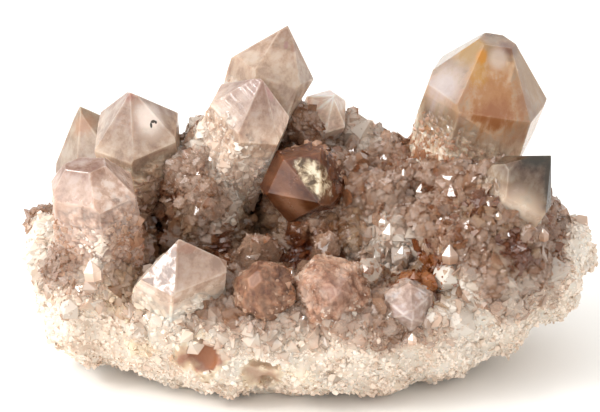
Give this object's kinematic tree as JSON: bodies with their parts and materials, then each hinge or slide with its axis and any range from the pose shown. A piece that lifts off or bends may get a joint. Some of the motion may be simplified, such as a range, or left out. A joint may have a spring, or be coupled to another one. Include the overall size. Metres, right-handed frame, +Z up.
{
  "type": "amethyst specimen",
  "caption": "Pale smoky amethyst cluster: tall six-sided quartz points rising from a druse-covered rock with a flat cut base.",
  "frame": {"origin": "middle of the flat cut base, under the centre of the specimen's bounding box", "axes": "+Z up out of the base, +X along the length to the viewer's right, the show side towards -Y"},
  "size_m": [0.1205, 0.0752, 0.0708],
  "materials": {
    "matrix_rock": "granular milky quartz and druse, cream below, mauve-brown above",
    "pale_quartz": "milky pinkish quartz with bright natural faces",
    "smoky_quartz": "brown smoky quartz with bright natural faces",
    "clear_quartz": "clear quartz with a brown phantom and a golden streak inside"
  },
  "bodies": {
    "root": {"matrix": "matrix_rock", "left_rear_point": "pale_quartz", "left_tall_point": "pale_quartz", "left_front_point": "pale_quartz", "middle_points": "pale_quartz", "ridge_point": "pale_quartz", "smoky_point": "smoky_quartz", "large_right_point": "clear_quartz", "dark_right_point": "smoky_quartz", "front_left_point": "pale_quartz", "front_mid_point": "smoky_quartz", "front_centre_point": "pale_quartz", "front_right_point": "pale_quartz"}
  },
  "joints": []
}
